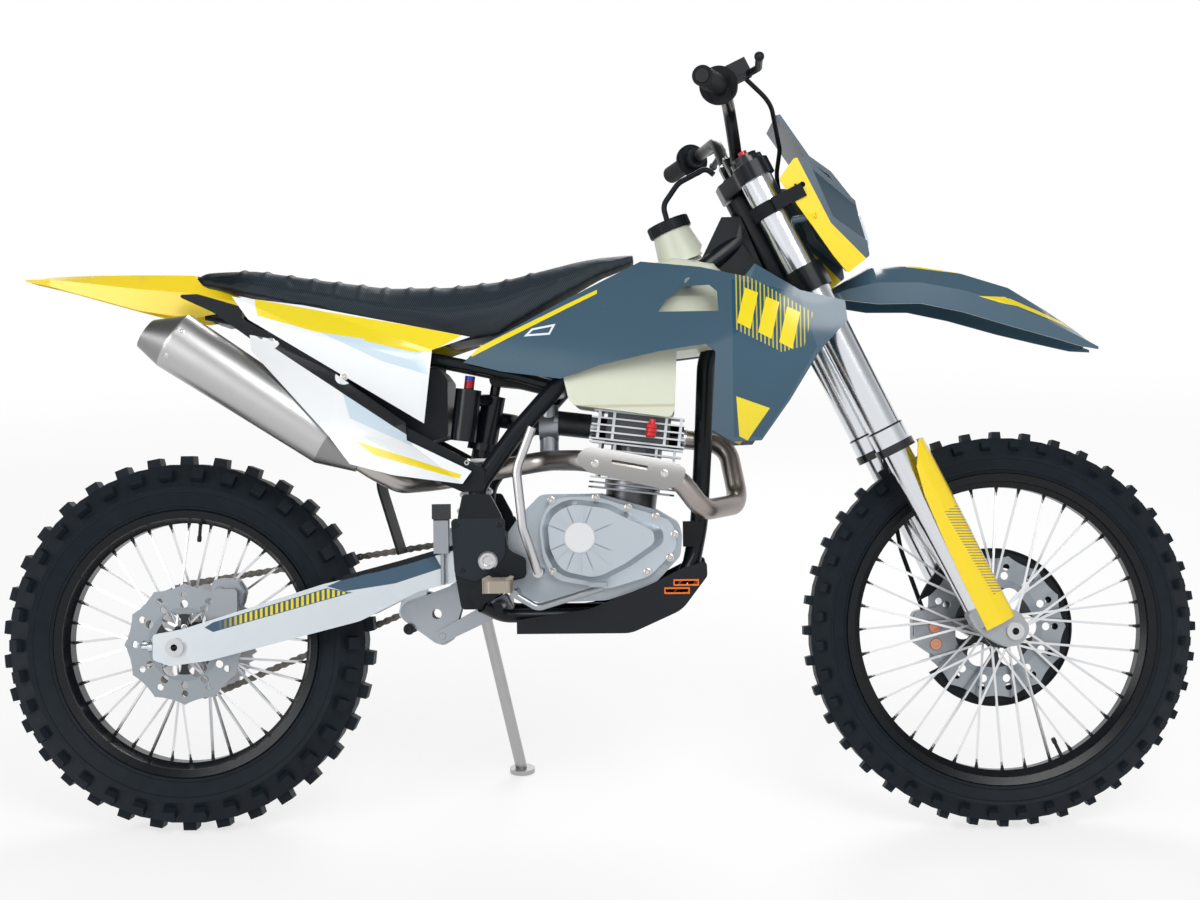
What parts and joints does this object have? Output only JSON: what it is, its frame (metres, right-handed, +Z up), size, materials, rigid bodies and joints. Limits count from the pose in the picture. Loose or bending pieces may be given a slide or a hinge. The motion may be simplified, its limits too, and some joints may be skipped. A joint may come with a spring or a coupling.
{
  "type": "trail motorcycle",
  "caption": "Off-road motorcycle with knobbly tyres, long-travel fork, open frame, high silencer and long flat seat, leaning on its side stand.",
  "frame": {"origin": "on the ground under the middle of the bounding box, the motorcycle leaning on its side stand", "axes": "+X forward, +Y to the left, +Z up"},
  "size_m": [2.1346, 0.8612, 1.3496],
  "materials": {
    "aluminium": "brushed",
    "black_frame": "satin black paint",
    "black_hub": "satin black",
    "black_plastic": "moulded",
    "black_rim": "gloss black",
    "case_silver": "cast, satin",
    "chain_steel": "oiled",
    "clamp_black": "anodised black",
    "cover_silver": "satin silver",
    "cream_tank": "moulded, slightly translucent",
    "disc_steel": "ground",
    "exhaust": "stainless, heat tinted",
    "lens": "clear moulded",
    "link_silver": "forged, satin",
    "rubber": "matt",
    "seat_black": "grippy cover",
    "silencer_steel": "brushed stainless",
    "slate": "moulded gloss",
    "spring_blue": "painted",
    "steel": "brushed",
    "tyre": "blocky off-road tread, matt",
    "white": "moulded gloss",
    "yellow": "moulded gloss"
  },
  "bodies": {
    "chassis": {"rear_axle": "steel", "swingarm": "aluminium", "linkage": "link_silver", "shock": "black_frame", "shock_spring": "spring_blue", "subframe": "black_frame", "main_frame": "black_frame", "frame_guards": "black_plastic", "crankcase": "case_silver", "engine_covers": "cover_silver", "drive_sprocket": "steel", "cylinder": "case_silver", "cylinder_head": "case_silver", "carburettor": "case_silver", "exhaust_pipe": "exhaust", "silencer": "silencer_steel", "heat_shield": "silencer_steel", "fuel_tank": "cream_tank", "tank_cap": "black_plastic", "seat": "seat_black", "rear_fender": "yellow", "side_panels": "white", "lower_side_panels": "white", "tank_shrouds": "slate", "air_box": "black_plastic", "skid_plate": "black_plastic", "footpegs": "link_silver", "brake_pedal": "aluminium", "kick_starter": "steel", "gear_lever": "aluminium", "rear_brake": "case_silver", "mud_flap": "rubber", "chain": "chain_steel"},
    "steering": {"fork_clamps": "clamp_black", "handlebar": "aluminium", "fork_tubes": "aluminium", "fork_legs": "aluminium", "front_axle": "steel", "fork_guards": "yellow", "grips": "rubber", "hand_controls": "black_plastic", "front_brake": "case_silver", "front_fender": "slate", "headlamp_mask": "yellow", "headlamp": "lens", "mask_bands": "rubber", "disc_guard": "black_plastic", "front_brake_hose": "rubber"},
    "front_wheel": {"front_tyre": "tyre", "front_rim": "black_rim", "front_hub": "black_hub", "front_disc": "disc_steel"},
    "rear_wheel": {"rear_tyre": "tyre", "rear_rim": "black_rim", "rear_hub": "black_hub", "rear_disc": "disc_steel", "rear_sprocket": "steel"},
    "side_stand": {"side_stand": "steel"}
  },
  "joints": [
    {"name": "steering", "type": "hinge", "parent": "chassis", "child": "steering", "pos_m": [0.33891, -0.04753, 0.96654], "axis": [-0.4454, 0.1708, 0.8789], "range_deg": [-46, 38]},
    {"name": "front_wheel", "type": "hinge", "parent": "steering", "child": "front_wheel", "pos_m": [0.7187, -0.16489, 0.34161], "axis": [-0.0626, 0.9733, -0.2208], "continuous": true},
    {"name": "rear_wheel", "type": "hinge", "parent": "chassis", "child": "rear_wheel", "pos_m": [-0.73119, -0.17126, 0.33104], "axis": [-0.0002, 0.9816, -0.1908], "continuous": true},
    {"name": "side_stand", "type": "hinge", "parent": "chassis", "child": "side_stand", "pos_m": [-0.21715, -0.03027, 0.37038], "axis": [0, 0.9996, 0.0287], "range_deg": [0, 125]}
  ]
}
